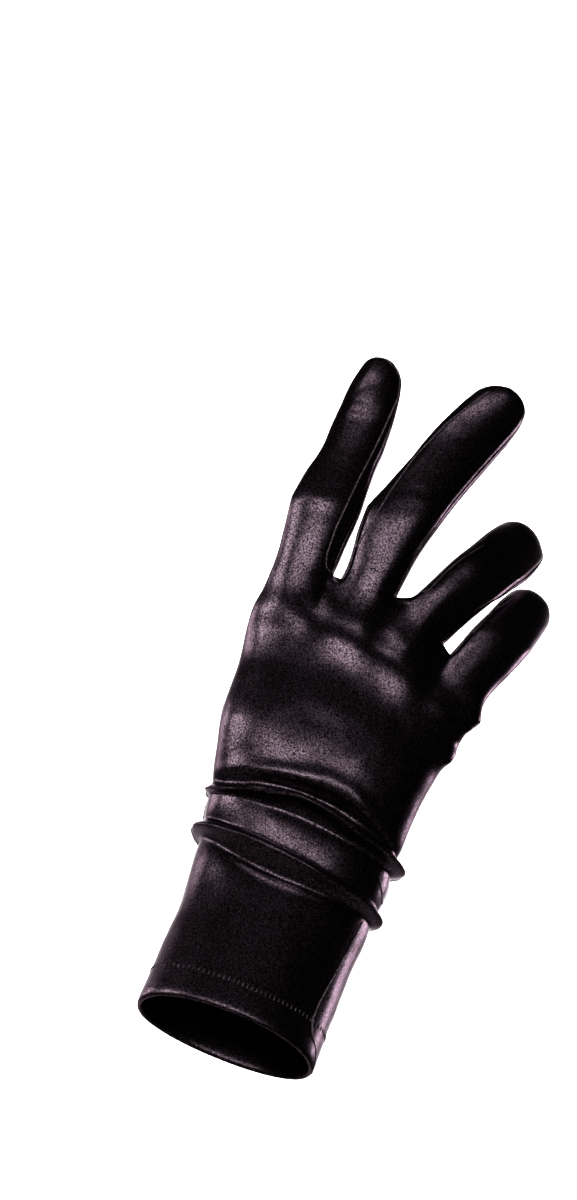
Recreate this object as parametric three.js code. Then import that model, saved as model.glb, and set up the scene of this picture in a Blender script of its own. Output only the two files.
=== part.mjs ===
// A wrist length dress glove of stretch satin for the right hand, in the shape it has when worn.
// The open end is at the origin, +Z runs up through the cuff, the back of the hand faces -Y
// and the little finger is on the +X side. Lengths are in millimetres, angles in degrees.
import * as THREE from "three";

// Driving dimensions
const cloth = 1.2; // wall of the glove
const hemCloth = 2.2; // wall where the cuff's edge is turned in
const hemHeight = 9.5;
const hemRise = 2.6; // how much higher the open edge runs at the back of the hand
const seamGap = 0.3; // between two pieces along their seam
const cuffWidth = 62; // across the open end
const cuffDepth = 48;
const cuffLength = 66; // from the hem to the bend of the wrist
const wristWidth = 65;
const wristDepth = 42;
const wristBend = 14; // how far the hand leans back from the cuff's axis
const palmLength = 66; // from the bend of the wrist to the first knuckle
const handWidth = 81; // across the knuckles
const handDepth = 31;
const fourchetteWidth = 8.5; // the strip between two fingers, from back seam to palm seam
const foldHeight = 4.6; // how far a fold at the wrist stands out
const foldWidth = 5.5;
const foldGap = 3; // between the feet of the two folds
const fingerLength = 92; // of the middle finger, from the web to the tip
const fingerWidth = 20.5;
const fingerDepth = 17;
const webWidth = 4; // widest gap between two fingers' roots
const thumbLength = 62;
const thumbWidth = 22;
const thumbDepth = 20;

// One row for each finger, from the index to the little finger. length, width and depth are shares of
// the middle finger's, and web, the gap to the next finger, is a share of webWidth. lean turns the finger
// towards the little finger's side and sway turns it further from joint to joint. slant is the angle of
// the cut at its root, curl the bend at the root, the middle joint and the end joint. rise and set place
// the root, as shares of palmLength and handDepth.
const fingerShares = [
  { name: "index", length: 0.935, width: 1.045, taper: 0.83, depth: 1, lean: -3.2, sway: 2.9, slant: 14,
    curl: [4, 9, 8], rise: 0.38, set: 0, web: 0.4 },
  { name: "middle", length: 1, width: 1, taper: 1, depth: 1, lean: 7, sway: 9, slant: 3,
    curl: [3, 10, 7], rise: 0.42, set: -0.05, web: 0.9 },
  { name: "ring", length: 0.859, width: 0.966, taper: 1, depth: 0.941, lean: 24, sway: 0, slant: -38,
    curl: [22, 23, 9], rise: 0.37, set: 0.03, web: 0.7 },
  { name: "little", length: 0.696, width: 0.888, taper: 1, depth: 0.882, lean: 20, sway: 0, slant: -45,
    curl: [22, 22, 9], rise: 0.16, set: 0.05, web: 0 },
];
const fingers = fingerShares.map((share) => ({
  ...share,
  length: share.length * fingerLength,
  width: share.width * fingerWidth,
  depth: share.depth * fingerDepth,
  web: share.web * webWidth,
}));
const fingersAside = 0.062; // how far the roots stand to the index side, as a share of handWidth

// Widths and depths along a finger, as shares of its own, with the seam's share of the fourchette width
const fingerProfile = [
  { at: 0, width: 0.98, depth: 1.0, seam: 1.0 },
  { at: 0.2, width: 0.97, depth: 0.96, seam: 0.95 },
  { at: 0.38, width: 1.02, depth: 1.0, seam: 0.9 },
  { at: 0.55, width: 0.98, depth: 0.93, seam: 0.82 },
  { at: 0.7, width: 1.0, depth: 0.92, seam: 0.7 },
  { at: 0.88, width: 0.97, depth: 0.84, seam: 0.5 },
  { at: 1, width: 0.9, depth: 0.78, seam: 0.4 },
];

// Sections of the cuff and hand. at runs from -1 at the hem through 0 at the wrist to 1 at the knuckles;
// across moves the section sideways, as a share of handWidth, and arch bows it towards the palm at its sides,
// as a share of handDepth. square is the power of its rounded outline and hollow draws its palm in.
const sections = [
  { at: -1, width: cuffWidth * 1.02, depth: cuffDepth, across: -0.005,
    square: 2.1, arch: 0, hollow: 0 },
  { at: -0.62, width: cuffWidth * 1.0, depth: cuffDepth * 0.97, across: -0.004,
    square: 2.1, arch: 0, hollow: 0 },
  { at: -0.3, width: cuffWidth * 1.01, depth: cuffDepth * 0.93, across: 0,
    square: 2.15, arch: 0, hollow: 0 },
  { at: 0, width: wristWidth * 1.02, depth: wristDepth, across: -0.014,
    square: 2.2, arch: 0, hollow: 0 },
  { at: 0.3, width: handWidth * 0.86, depth: handDepth * 1.2, across: -0.042,
    square: 2.3, arch: 0, hollow: 0.02 },
  { at: 0.55, width: handWidth * 0.925, depth: handDepth * 1.1, across: -0.064,
    square: 2.45, arch: 0.05, hollow: 0.12 },
  { at: 0.8, width: handWidth * 0.975, depth: handDepth, across: -0.054,
    square: 2.5, arch: 0.12, hollow: 0.16 },
  { at: 1, width: handWidth * 1.03, depth: handDepth * 0.9, across: -0.048,
    square: 2.6, arch: 0.18, hollow: 0.12 },
];
const knuckleDrop = 0.27; // how much nearer the wrist the knuckle line is at the little finger

// The two folds that ring the wrist. left, right, palm and back move the crest at the index side, the little
// finger's side, the palm and the back of the hand, as shares of cuffLength. The lifts say how far it stands
// out at each of them.
// outer is the side of its wide valley, which is widest at the angle turned towards the little finger.
const lowerFoldAt = cuffLength * 0.87;
const upperFoldAt = lowerFoldAt + 3 * foldWidth + foldGap;
const folds = [
  { height: lowerFoldAt, left: 0.105, right: -0.01, palm: 0.03, back: 0,
    backLift: 0.85, leftLift: 0.75, rightLift: 0.7, palmLift: 0.45, outer: -1, turned: -8 },
  { height: upperFoldAt, left: 0.03, right: -0.02, palm: -0.03, back: 0.065,
    backLift: 0.9, leftLift: 0.45, rightLift: 0.95, palmLift: 0.4, outer: 1, turned: 12 },
];
// The fold's outline from its inner to its outer side: offset in fold widths, lift in fold heights
const foldProfile = [
  { offset: -1.5, lift: 0.05 },
  { offset: -0.85, lift: -0.3 },
  { offset: -0.4, lift: 0.05 },
  { offset: -0.15, lift: 1 },
  { offset: 0.15, lift: 1 },
  { offset: 0.4, lift: 0.05 },
  { offset: 0.95, lift: -0.5 },
  { offset: 1.5, lift: 0.08 },
];

// The thumb's middle line from its hole in the palm to its tip: across as shares of handWidth,
// along as shares of palmLength above the wrist, out as shares of handDepth towards the palm side
const thumbLine = [
  { across: -0.2, along: 0.5, out: 0.4 },
  { across: -0.25, along: 0.66, out: 0.85 },
  { across: -0.27, along: 0.86, out: 1.2 },
  { across: -0.24, along: 1.07, out: 1.45 },
  { across: -0.17, along: 1.27, out: 1.6 },
];
const thumbProfile = [
  { at: 0, width: 1.3, depth: 1.2 },
  { at: 0.25, width: 1.15, depth: 1.1 },
  { at: 0.5, width: 1.02, depth: 1.0 },
  { at: 0.72, width: 1.04, depth: 0.95 },
  { at: 1, width: 0.9, depth: 0.78 },
];

// How finely each form is divided
const backColumns = 4; // along a finger's back, and along its palm side
const sideColumns = 3; // along a finger's side
const fingerRows = 9;
const thumbRows = 7;
const tipAngles = [38, 66]; // rings on a rounded tip
const knuckleRows = 3; // between the knuckles and the webs
const handRows = 6; // between the folds and the knuckles
const cuffRows = 4;

const degrees = Math.PI / 180;
const vector = (x, y, z) => new THREE.Vector3(x, y, z);
const mix = THREE.MathUtils.lerp;
const power = (value, exponent) => Math.sign(value) * Math.abs(value) ** exponent;

// A smooth curve through a column of a table whose rows are ordered by the key column
function follow(table, key, column, at) {
  let k = table.findIndex((row) => row[key] > at) - 1;
  if (k === -2) k = table.length - 2;
  k = Math.max(k, 0);
  const value = (i) => table[THREE.MathUtils.clamp(i, 0, table.length - 1)];
  const [before, from, to, after] = [value(k - 1), value(k), value(k + 1), value(k + 2)];
  const span = to[key] - from[key];
  const t = THREE.MathUtils.clamp((at - from[key]) / span, 0, 1);
  const slope = (a, b) => (a === b ? 0 : ((b[column] - a[column]) / (b[key] - a[key])) * span);
  const [leave, arrive] = [slope(before, to), slope(from, after)];
  return hermite(from[column], leave, to[column], arrive, t);
}

function hermite(from, leave, to, arrive, t) {
  const [t2, t3] = [t * t, t * t * t];
  return (2 * t3 - 3 * t2 + 1) * from + (t3 - 2 * t2 + t) * leave
    + (3 * t2 - 2 * t3) * to + (t3 - t2) * arrive;
}

// The hand's own axes: x to the little finger's side, along the hand, and out of the palm
const bend = wristBend * degrees;
const handAcross = vector(1, 0, 0);
const handAlong = vector(0, -Math.sin(bend), Math.cos(bend));
const handOut = vector(0, Math.cos(bend), Math.sin(bend));
const wristCentre = vector(0, 0, cuffLength);

function inHand(across, along, out) {
  return wristCentre.clone().addScaledVector(handAcross, across)
    .addScaledVector(handAlong, along).addScaledVector(handOut, out);
}

// The glove's middle surface. A point has its place, how far folds lift it and its wall;
// a face has four points, counter-clockwise from outside, and the piece that it belongs to.
const points = [];
const faces = [];

function addPoint(place, lift = 0, wall = cloth) {
  points.push({ place, lift, wall });
  return points.length - 1;
}

function addStrip(lower, upper, pieceOf) {
  const count = lower.length;
  for (let j = 0; j < count; j++) {
    const next = (j + 1) % count;
    const piece = pieceOf(j);
    if (piece) faces.push({ piece, corners: [lower[j], lower[next], upper[next], upper[j]] });
  }
}

// Fingers. A ring's points run over the back from the index side, down the side, across the palm and up.
const fingerRing = 2 * (backColumns + sideColumns);

function ringAngle(k, seamAngle) {
  const flat = Math.PI - 2 * seamAngle;
  if (k <= backColumns) return -Math.PI + seamAngle + (flat * k) / backColumns;
  const side = k - backColumns;
  if (side <= sideColumns) return -seamAngle + (2 * seamAngle * side) / sideColumns;
  const palm = side - sideColumns;
  if (palm <= backColumns) return seamAngle + (flat * palm) / backColumns;
  return Math.PI - seamAngle + (2 * seamAngle * (palm - backColumns)) / sideColumns;
}

function fingerShape(finger, at) {
  const taper = mix(1, finger.taper, THREE.MathUtils.smoothstep(at, 0.3, 0.6));
  const width = (finger.width / 2) * taper * follow(fingerProfile, "at", "width", at);
  const depth = (finger.depth / 2) * follow(fingerProfile, "at", "depth", at);
  const seam = fourchetteWidth * follow(fingerProfile, "at", "seam", at);
  return { width, depth, seamAngle: Math.asin(Math.min(seam / 2 / depth, 0.8)) };
}

const tipShare = 0.5; // length of a rounded tip, as a share of the finger's depth
const swayEnd = 1.4; // joints after which a finger turns no further

// The finger's middle line bends at its root and its two joints
function fingerFrame(finger) {
  const straightAt = (lean) => handAcross.clone().multiplyScalar(Math.sin(lean * degrees))
    .addScaledVector(handAlong, Math.cos(lean * degrees));
  const across = new THREE.Vector3().crossVectors(handOut, straightAt(finger.lean));
  const tipLength = finger.depth * tipShare;
  const stretch = finger.length - tipLength;
  const joints = [0, 0.3, 0.66, 1]; // root, middle joint, end joint and start of the rounded tip
  const swayAt = (i) => finger.sway * Math.min(i, swayEnd);
  const way = (turn, i) => straightAt(finger.lean + swayAt(i)).multiplyScalar(Math.cos(turn))
    .addScaledVector(handOut, Math.sin(turn));
  const turns = finger.curl.map((_, i) => finger.curl.slice(0, i + 1).reduce((a, b) => a + b) * degrees);
  const knots = [finger.root.clone().addScaledVector(way(turns[0], 0), -stretch * 0.2), finger.root.clone()];
  turns.forEach((turn, i) => {
    knots.push(knots.at(-1).clone().addScaledVector(way(turn, i), stretch * (joints[i + 1] - joints[i])));
  });
  const curve = new THREE.CatmullRomCurve3(knots, false, "centripetal");
  const rootAt = curve.getLengths(200)[Math.round(200 / (knots.length - 1))] / curve.getLength();
  return (at) => {
    const u = mix(rootAt, 1, at);
    const along = curve.getTangentAt(u);
    const out = new THREE.Vector3().crossVectors(along, across).normalize();
    return { centre: curve.getPointAt(u), along, across: new THREE.Vector3().crossVectors(out, along), out };
  };
}

function ringPlace(frame, shape, angle, reach = 1, rise = 0) {
  const square = 2 / 2.25;
  const x = shape.width * reach * power(Math.cos(angle), square);
  const y = shape.depth * reach * power(Math.sin(angle), square);
  return frame.centre.clone().addScaledVector(frame.across, x)
    .addScaledVector(frame.out, y).addScaledVector(frame.along, rise);
}

// Places the finger roots side by side, each with its own width and web, centred on the hand
function placeRoots() {
  let edge = 0;
  fingers.forEach((finger) => {
    const lean = finger.lean * degrees;
    finger.cut = Math.tan((finger.slant + finger.lean) * degrees);
    const chord = finger.width * (Math.cos(lean) + finger.cut * Math.sin(lean));
    finger.middle = edge + chord / 2;
    edge += chord + finger.web;
  });
  fingers.forEach((finger) => {
    const across = finger.middle - edge / 2 - fingersAside * handWidth;
    finger.root = inHand(across, palmLength * (1 + finger.rise), finger.set * handDepth);
    finger.frame = fingerFrame(finger);
  });
}

function rootRing(finger) {
  const frame = finger.frame(0);
  const shape = fingerShape(finger, 0);
  return Array.from({ length: fingerRing }, (_, k) => {
    const angle = ringAngle(k, shape.seamAngle);
    const rise = finger.cut * shape.width * Math.cos(angle);
    return addPoint(ringPlace(frame, shape, angle, 1, rise));
  });
}

// Closes a ring with a patch of squares, across by deep, on a rounded tip
function addCap(ring, across, deep, placeAt, piece) {
  const edge = (i, j) => {
    if (j === 0) return ring[i];
    if (i === across) return ring[across + j];
    if (j === deep) return ring[2 * across + deep - i];
    return i === 0 ? ring[ring.length - j] : null;
  };
  const grid = [];
  for (let i = 0; i <= across; i++) {
    grid.push([]);
    for (let j = 0; j <= deep; j++) {
      const given = edge(i, j);
      grid[i].push(given ?? addPoint(placeAt((2 * i) / across - 1, (2 * j) / deep - 1)));
    }
  }
  for (let i = 0; i < across; i++) {
    for (let j = 0; j < deep; j++) {
      faces.push({ piece, corners: [grid[i][j], grid[i + 1][j], grid[i + 1][j + 1], grid[i][j + 1]] });
    }
  }
}

function addFinger(finger, root, pieceOf) {
  let lower = root;
  const tipLength = finger.depth * tipShare;
  for (let row = 1; row <= fingerRows; row++) {
    const at = row / fingerRows;
    const frame = finger.frame(at);
    const shape = fingerShape(finger, at);
    const fade = Math.max(0, 1 - at / 0.4) ** 2;
    const ring = Array.from({ length: fingerRing }, (_, k) => {
      const angle = ringAngle(k, shape.seamAngle);
      return addPoint(ringPlace(frame, shape, angle, 1, fade * finger.cut * shape.width * Math.cos(angle)));
    });
    addStrip(lower, ring, pieceOf);
    lower = ring;
  }
  const frame = finger.frame(1);
  const shape = fingerShape(finger, 1);
  tipAngles.forEach((tipAngle) => {
    const [reach, rise] = [Math.cos(tipAngle * degrees), tipLength * Math.sin(tipAngle * degrees)];
    const ring = Array.from({ length: fingerRing }, (_, k) =>
      addPoint(ringPlace(frame, shape, ringAngle(k, shape.seamAngle), reach, rise)));
    addStrip(lower, ring, pieceOf);
    lower = ring;
  });
  const reach = Math.cos(tipAngles.at(-1) * degrees);
  const place = (x, y) => {
    const [a, b] = [x * reach * 0.92, y * reach * 0.45];
    const rise = tipLength * Math.sqrt(1 - a * a - b * b);
    return frame.centre.clone().addScaledVector(frame.across, a * shape.width)
      .addScaledVector(frame.out, b * shape.depth).addScaledVector(frame.along, rise);
  };
  addCap(lower, backColumns, sideColumns, place, "trank");
}

// Cuff and hand. Columns of the sleeve follow the points of the four finger roots.
const backCount = fingers.length * (backColumns + 1);
const sleeveRing = 2 * (backCount + sideColumns - 1);
const sideStart = 0.9; // share of the half width where the back ends and the side begins

function columnShares() {
  const places = fingers.flatMap((finger) => {
    const shape = fingerShape(finger, 0);
    return Array.from({ length: backColumns + 1 }, (_, k) =>
      finger.middle + shape.width * Math.cos(ringAngle(k, shape.seamAngle)));
  });
  const [low, high] = [places[0], places.at(-1)];
  return places.map((x) => sideStart * ((2 * (x - low)) / (high - low) - 1));
}

// The angle round a section at a column, which may lie between two of the sleeve's own
function columnAngle(column, square, shares) {
  const own = (j) => {
    if (j < backCount) return -Math.acos(power(shares[j], square / 2));
    const corner = Math.acos(power(sideStart, square / 2));
    const side = j - backCount + 1;
    if (side < sideColumns) return corner * ((2 * side) / sideColumns - 1);
    const palm = side - sideColumns;
    if (palm < backCount) return Math.acos(power(shares[backCount - 1 - palm], square / 2));
    const last = palm - backCount + 1;
    return Math.PI + corner * ((2 * last) / sideColumns - 1);
  };
  const low = Math.floor(column);
  const from = own(((low % sleeveRing) + sleeveRing) % sleeveRing);
  let to = own((((low + 1) % sleeveRing) + sleeveRing) % sleeveRing);
  if (to < from) to += 2 * Math.PI;
  return mix(from, to, column - low);
}

function sectionAt(height) {
  const above = height - cuffLength;
  const at = above < 0 ? above / cuffLength : above / palmLength;
  const section = {};
  for (const name of ["width", "depth", "across", "square", "arch", "hollow"]) {
    section[name] = follow(sections, "at", name, at);
  }
  const turn = THREE.MathUtils.smoothstep(at, -0.35, 0.45) * bend;
  section.out = vector(0, Math.cos(turn), Math.sin(turn));
  section.centre = above < 0 ? vector(0, 0, height) : inHand(0, above, 0);
  return section;
}

function sleevePlace(height, column, shares) {
  const section = sectionAt(height);
  const angle = columnAngle(column, section.square, shares);
  const x = power(Math.cos(angle), 2 / section.square);
  const y = power(Math.sin(angle), 2 / section.square);
  const hollow = y > 0 ? 1 - section.hollow * (1 - x * x) : 1;
  return section.centre.clone()
    .addScaledVector(handAcross, section.across * handWidth + (x * section.width) / 2)
    .addScaledVector(section.out, (y * hollow * section.depth) / 2 + section.arch * handDepth * x * x);
}

// How a fold runs round the wrist at a column: its crest's height, its lift and its spread
function foldAround(fold, column, shares) {
  const angle = columnAngle(column, 2, shares);
  const [x, y] = [Math.cos(angle), Math.sin(angle)];
  const [left, right] = [Math.max(-x, 0) ** 2, Math.max(x, 0) ** 2];
  const [back, palm] = [Math.max(-y, 0) ** 2, Math.max(y, 0) ** 2];
  return {
    path: cuffLength * (left * fold.left + right * fold.right + back * fold.back + palm * fold.palm),
    lift: foldHeight * (left * fold.leftLift + right * fold.rightLift
      + back * fold.backLift + palm * fold.palmLift),
    valley: Math.max(-Math.sin(angle - fold.turned * degrees), 0) ** 2,
  };
}

// Rows beside a crest draw in towards the sides of the wrist, and the wide valley opens at the back of it
const valleySpread = { drawnIn: 0.66, outer: 0.42, inner: 0.2 };

function foldSpread(row, around) {
  if (Math.abs(row.offset) < 0.5) return 1;
  return valleySpread.drawnIn + (row.outer ? valleySpread.outer : valleySpread.inner) * around.valley;
}

// The rows of the sleeve: a height for each, or an offset from the fold that it belongs to
function sleeveRows() {
  const between = (low, high, count) =>
    Array.from({ length: count }, (_, i) => ({ height: mix(low, high, (i + 1) / (count + 1)) }));
  const foldRows = (fold) => foldProfile
    .map((row) => ({ ...row, fold, offset: row.offset * fold.outer, outer: row.offset > 0.5 }))
    .map((row) => ({ ...row, height: fold.height + row.offset * foldWidth }))
    .sort((a, b) => a.height - b.height);
  const [lower, upper] = folds;
  const reach = 1.5 * foldWidth;
  const hem = [0, 0.5 * hemHeight, hemHeight].map((height) => ({ height, wall: hemCloth }));
  const knuckles = cuffLength + palmLength;
  return [
    ...hem,
    { height: hemHeight + hemCloth - cloth },
    ...between(hemHeight, lower.height - reach, cuffRows),
    ...foldRows(lower),
    ...foldRows(upper),
    ...between(upper.height + reach, knuckles, handRows),
    { height: knuckles },
  ];
}

// A row's height at a column: the folds carry nearby rows with them, and the knuckle line drops
function rowHeight(row, column, shares) {
  const top = folds[1].height + 1.5 * foldWidth;
  if (row.fold) {
    const around = foldAround(row.fold, column, shares);
    return row.fold.height + around.path + row.offset * foldWidth * foldSpread(row, around);
  }
  const carried = folds.reduce((sum, fold) => {
    const near = Math.max(0, 1 - Math.abs(row.height - fold.height) / (4 * foldWidth));
    return sum + near * foldAround(fold, column, shares).path;
  }, 0);
  const angle = columnAngle(column, 2, shares);
  const side = (Math.cos(angle) + 1) / 2;
  const above = Math.max(row.height - top, 0);
  const below = Math.max(1 - row.height / (folds[0].height - 1.5 * foldWidth), 0);
  const raised = below * hemRise * Math.max(-Math.sin(angle), 0);
  return row.height + raised + carried * (above > 0 ? 0.5 : 1) - above * knuckleDrop * side * side;
}

// A valley is shallow at the sides of the wrist and deep at the back
const rowLift = (row, around) => row.lift * around.lift * (row.lift < 0 ? 0.35 + 0.65 * around.valley : 1);

// The thumb's hole: a block of the sleeve's squares on the palm at the index side, drawn out to an oval
const firstHoleColumn = sleeveRing - sideColumns - backColumns - 3;
const holeColumns = backColumns + 3;
const holeRows = 4;

// Turns the block's square outline into a round one, and eases the squares round it
function roundOut(column, row, firstRow) {
  const [halfX, halfY] = [holeColumns / 2, holeRows / 2];
  const x = (column - firstHoleColumn) / halfX - 1;
  const y = (row - firstRow) / halfY - 1;
  const size = Math.max(Math.abs(x), Math.abs(y));
  const ease = THREE.MathUtils.clamp(1.9 - size * 0.9, 0, 1);
  const [u, v] = size > 0 ? [x / size, y / size] : [0, 0];
  const round = [u * Math.sqrt(1 - (v * v) / 2) * size, v * Math.sqrt(1 - (u * u) / 2) * size];
  const swell = 1.08;
  return [mix(x, round[0] * swell, ease) * halfX + halfX + firstHoleColumn,
    mix(y, round[1] * swell, ease) * halfY + halfY + firstRow];
}

function addSleeve() {
  const shares = columnShares();
  const rows = sleeveRows();
  const firstHoleRow = rows.length - 1 - holeRows - 2;
  const heightAt = (row, column) => {
    const low = THREE.MathUtils.clamp(Math.floor(row), 0, rows.length - 2);
    return mix(rowHeight(rows[low], column, shares), rowHeight(rows[low + 1], column, shares), row - low);
  };
  const rings = rows.map((row, r) => Array.from({ length: sleeveRing }, (_, j) => {
    const nearHole = !row.fold && row.height > folds[1].height && j > backCount;
    const [column, at] = nearHole ? roundOut(j, r, firstHoleRow) : [j, r];
    const lift = row.fold ? rowLift(row, foldAround(row.fold, j, shares)) : 0;
    return addPoint(sleevePlace(heightAt(at, column), column, shares), lift, row.wall);
  }));
  const inHole = (r, j) => r >= firstHoleRow && r < firstHoleRow + holeRows
    && j >= firstHoleColumn && j < firstHoleColumn + holeColumns;
  for (let r = 0; r + 1 < rings.length; r++) {
    addStrip(rings[r], rings[r + 1], (j) => (inHole(r, j) ? null : "trank"));
  }
  return { top: rings.at(-1), below: rings.at(-2), hole: holeEdge(rings, firstHoleRow) };
}

// The points round the thumb's hole, counter-clockwise from outside, from its corner at the index and wrist
function holeEdge(rings, firstRow) {
  const edge = [];
  const at = (r, j) => rings[firstRow + r][firstHoleColumn + j];
  for (let j = 0; j < holeColumns; j++) edge.push(at(0, j));
  for (let r = 0; r < holeRows; r++) edge.push(at(r, holeColumns));
  for (let j = holeColumns; j > 0; j--) edge.push(at(holeRows, j));
  for (let r = holeRows; r > 0; r--) edge.push(at(r, 0));
  return edge;
}

// Joins the knuckle ring to the roots of the fingers
function addKnuckles(top, below, crotch, ways) {
  let lower = top;
  for (let row = 1; row <= knuckleRows; row++) {
    const t = row / knuckleRows;
    const ring = crotch.map((end, j) => {
      if (row === knuckleRows) return end;
      const [from, to] = [points[top[j]].place, points[end].place];
      const reach = from.distanceTo(to);
      const leave = from.clone().sub(points[below[j]].place).normalize().multiplyScalar(reach);
      const arrive = ways[j].clone().multiplyScalar(reach);
      const along = (axis) => hermite(from[axis], leave[axis], to[axis], arrive[axis], t);
      return addPoint(vector(along("x"), along("y"), along("z")));
    });
    addStrip(lower, ring, () => "trank");
    lower = ring;
  }
}

function fourchetteName(f) {
  return `fourchette_${fingers[f].name}_${fingers[f + 1].name}`;
}

function addFingers(top, below) {
  const last = fingers.length - 1;
  const roots = fingers.map(rootRing);
  const back = roots.flatMap((ring) => ring.slice(0, backColumns + 1));
  const palmOf = (ring) => ring.slice(backColumns + sideColumns, 2 * backColumns + sideColumns + 1);
  const palm = [...roots].reverse().flatMap(palmOf);
  const outer = roots[last].slice(backColumns + 1, backColumns + sideColumns);
  const inner = roots[0].slice(2 * backColumns + sideColumns + 1);
  const owner = new Map(roots.flatMap((ring, f) => ring.map((id) => [id, f])));
  const crotch = [...back, ...outer, ...palm, ...inner];
  addKnuckles(top, below, crotch, crotch.map((id) => fingers[owner.get(id)].frame(0).along));
  fingers.forEach((finger, f) => {
    addFinger(finger, roots[f], (k) => {
      if (k >= backColumns && k < backColumns + sideColumns && f < last) return fourchetteName(f);
      if (k >= 2 * backColumns + sideColumns && f > 0) return fourchetteName(f - 1);
      return "trank";
    });
    if (f === last) return;
    const here = roots[f].slice(backColumns, backColumns + sideColumns + 1);
    const next = here.map((_, k) => roots[f + 1][(fingerRing - k) % fingerRing]);
    for (let k = 0; k < sideColumns; k++) {
      faces.push({ piece: fourchetteName(f), corners: [here[k], next[k], next[k + 1], here[k + 1]] });
    }
  });
}

function addThumb(hole) {
  const knots = thumbLine.map((row) =>
    inHand(row.across * handWidth, row.along * palmLength, row.out * handDepth));
  const curve = new THREE.CatmullRomCurve3(knots, false, "centripetal");
  const tipLength = thumbDepth * tipShare;
  const scale = (thumbLength - tipLength) / curve.getLength();
  const start = knots[0];
  const frameAt = (at) => {
    const along = curve.getTangentAt(at);
    const across = new THREE.Vector3().crossVectors(handOut, along).normalize();
    const centre = curve.getPointAt(at).sub(start).multiplyScalar(scale).add(start);
    return { centre, along, across, out: new THREE.Vector3().crossVectors(along, across) };
  };
  const shapeAt = (at) => ({
    width: (thumbWidth / 2) * follow(thumbProfile, "at", "width", at),
    depth: (thumbDepth / 2) * follow(thumbProfile, "at", "depth", at),
  });
  const root = frameAt(0);
  const rooted = hole.map((id) => {
    const from = points[id].place.clone().sub(start);
    return { across: from.dot(root.across), out: from.dot(root.out), along: from.dot(root.along) };
  });
  const angles = rooted.map((point) => Math.atan2(point.out, point.across));
  const turns = angles.map((angle, i) => (i === 0 ? 0 : (angle - angles[0] + 4 * Math.PI) % (2 * Math.PI)));
  const step = (2 * Math.PI) / hole.length;
  const lag = turns.reduce((sum, turn, i) => sum + (turn - step * i) / hole.length, 0);
  const even = (i) => step * i + lag;
  let lower = hole;
  for (let row = 1; row <= thumbRows; row++) {
    const at = row / thumbRows;
    const frame = frameAt(at);
    const ease = THREE.MathUtils.smoothstep(at, -0.1, 0.85);
    const ring = rooted.map((point, i) => {
      const target = ringPlace(frame, shapeAt(at), angles[0] + mix(turns[i], even(i), at));
      const carried = frame.centre.clone().addScaledVector(frame.across, point.across)
        .addScaledVector(frame.out, point.out).addScaledVector(frame.along, point.along * (1 - ease));
      return addPoint(carried.lerp(target, ease));
    });
    addStrip(lower, ring, () => "thumb");
    lower = ring;
  }
  tipAngles.forEach((tipAngle) => {
    const [reach, rise] = [Math.cos(tipAngle * degrees), tipLength * Math.sin(tipAngle * degrees)];
    const ring = hole.map((_, i) =>
      addPoint(ringPlace(frameAt(1), shapeAt(1), angles[0] + even(i), reach, rise)));
    addStrip(lower, ring, () => "thumb");
    lower = ring;
  });
  const frame = frameAt(1);
  const ring = lower.map((id) => points[id].place);
  const centre = frame.centre.clone().addScaledVector(frame.along, tipLength);
  const place = (x, y) => {
    const i = ((x + 1) / 2) * holeColumns;
    const j = ((y + 1) / 2) * holeRows;
    const [low, high] = [ring[Math.round(i)], ring[2 * holeColumns + holeRows - Math.round(i)]];
    const between = low.clone().lerp(high, j / holeRows);
    const middle = Math.max(Math.abs(x), Math.abs(y));
    return between.addScaledVector(frame.along, (1 - middle * middle) * centre.distanceTo(low) * 0.18);
  };
  addCap(lower, holeColumns, holeRows, place, "thumb");
}

placeRoots();
const sleeve = addSleeve();
addFingers(sleeve.top, sleeve.below);
addThumb(sleeve.hole);

// The step from a point that moves every face round it by one unit along its own normal, as far as it can;
// where the faces are flat or evenly curved it is the mean normal
const cornerEase = 0.08;
const longestStep = 1.8;

function cornerStep(list, mean) {
  const sum = (a, b) => list.reduce((total, normal) => total + normal[a] * normal[b], 0);
  const [xy, xz, yz] = [sum("x", "y"), sum("x", "z"), sum("y", "z")];
  const [xx, yy, zz] = ["x", "y", "z"].map((axis) => sum(axis, axis) + cornerEase);
  const solve = new THREE.Matrix3().set(xx, xy, xz, xy, yy, yz, xz, yz, zz).invert();
  const step = mean.clone().multiplyScalar(cornerEase);
  list.forEach((normal) => step.add(normal));
  return step.applyMatrix3(solve).clampLength(0, longestStep);
}

// Every point's mean normal and corner step, from the faces round it, whichever piece they belong to
function pointNormals() {
  const around = points.map(() => []);
  for (const { corners } of faces) {
    const [a, b, c, d] = corners.map((id) => points[id].place);
    const normal = new THREE.Vector3().crossVectors(c.clone().sub(a), d.clone().sub(b)).normalize();
    corners.forEach((id) => around[id].push(normal));
  }
  return around.map((list) => {
    const mean = list.reduce((sum, normal) => sum.add(normal), vector(0, 0, 0)).normalize();
    return { mean, step: cornerStep(list, mean) };
  });
}

// The edges of a set of faces that only one of them has, as pairs of points
function openEdges(set) {
  const seen = new Map();
  for (const { corners } of set) {
    corners.forEach((from, i) => seen.set(`${from} ${corners[(i + 1) % 4]}`, [from, corners[(i + 1) % 4]]));
  }
  return [...seen.values()].filter(([from, to]) => !seen.has(`${to} ${from}`));
}

const liningShare = 0.35; // how far the inner side follows a raised fold

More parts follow.
